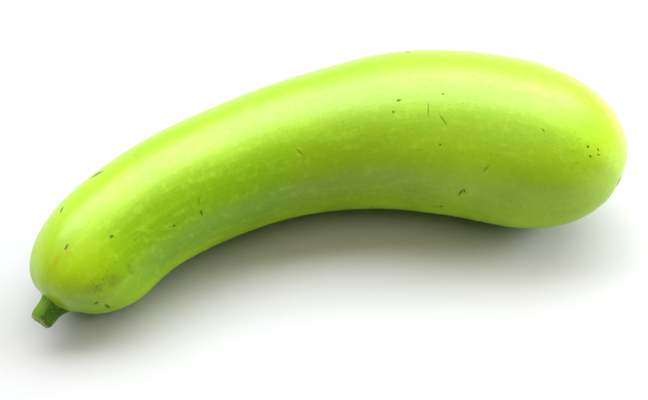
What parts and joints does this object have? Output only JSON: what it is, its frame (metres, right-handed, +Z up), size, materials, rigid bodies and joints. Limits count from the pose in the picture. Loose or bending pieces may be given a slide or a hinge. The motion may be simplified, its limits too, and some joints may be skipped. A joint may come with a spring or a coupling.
{
  "type": "bottle gourd",
  "caption": "Long, club-shaped bottle gourd, gently curved, lying on its side as picked, with a short cut stub of stem on its narrow end",
  "frame": {"origin": "on the plane that the gourd lies on, under the middle of the box round the whole gourd, stem included", "axes": "+Z up, +X from the stem end to the thick blossom end, and the hollow side of the bend faces -Y"},
  "size_m": [0.3234, 0.121, 0.0913],
  "materials": {
    "green_skin": "waxy, faintly glossy light green skin with fine pale speckles, lengthwise streaks and a few brown nicks",
    "stem_green": "matt, ribbed dark green stalk, dry and tan round the cut"
  },
  "bodies": {
    "root": {"fruit": "green_skin", "stem": "stem_green"}
  },
  "joints": []
}
